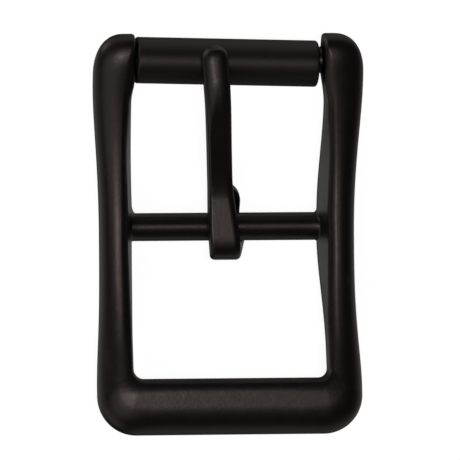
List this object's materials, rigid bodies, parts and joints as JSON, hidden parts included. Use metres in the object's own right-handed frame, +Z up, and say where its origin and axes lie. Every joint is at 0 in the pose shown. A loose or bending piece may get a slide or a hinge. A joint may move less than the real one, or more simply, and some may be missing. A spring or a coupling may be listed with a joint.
{
  "type": "roller belt buckle",
  "caption": "Full-frame belt buckle with a centre bar, a loose roller between two lugs and a swinging tongue that rests on the roller.",
  "frame": {"origin": "centre of the buckle's outline, on the surface that it lies on with its show side up", "axes": "+X across the strap, +Y along the strap towards the roller, +Z up out of the show side"},
  "size_m": [0.0562, 0.0828, 0.0205],
  "materials": {
    "frame_satin_black": "satin",
    "roller_satin_black": "satin",
    "tongue_satin_black": "satin"
  },
  "bodies": {
    "frame": {"frame": "frame_satin_black"},
    "roller": {"roller": "roller_satin_black"},
    "tongue": {"tongue": "tongue_satin_black"}
  },
  "joints": [
    {"name": "tongue_swing", "type": "hinge", "parent": "frame", "child": "tongue", "pos_m": [0, 0.0016, 0.00552], "axis": [1, 0, 0], "range_deg": [0, 135]},
    {"name": "roller_spin", "type": "hinge", "parent": "frame", "child": "roller", "pos_m": [-0.0003, 0.03555, 0.01225], "axis": [0.9997, -0.0244, 0], "continuous": true}
  ]
}
